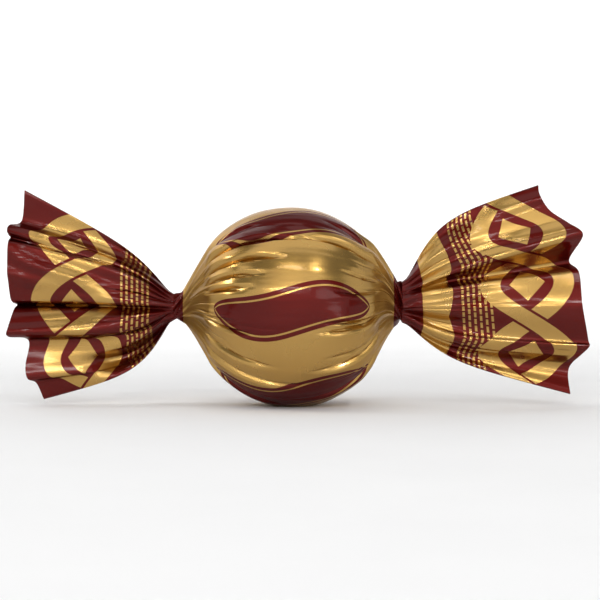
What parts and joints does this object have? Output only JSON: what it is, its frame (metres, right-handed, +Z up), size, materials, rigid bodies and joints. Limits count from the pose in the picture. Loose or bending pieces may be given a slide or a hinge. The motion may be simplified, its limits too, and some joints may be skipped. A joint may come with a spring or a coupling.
{
  "type": "twist-wrapped chocolate truffle",
  "caption": "Round chocolate truffle shut in a twist wrapper of gold and maroon printed film, with a twisted neck and a pleated fan-shaped tail at each end.",
  "frame": {"origin": "middle of the small flat spot under the ball, on which the truffle rests", "axes": "+X along the wrapper from its left neck to its right neck, -Y towards the viewer who sees both tails spread flat, +Z up"},
  "size_m": [0.1049, 0.0362, 0.0399],
  "materials": {
    "printed_film": "metallised film printed maroon and gold, satin gloss"
  },
  "bodies": {
    "root": {"wrapped_truffle": "printed_film"}
  },
  "joints": []
}
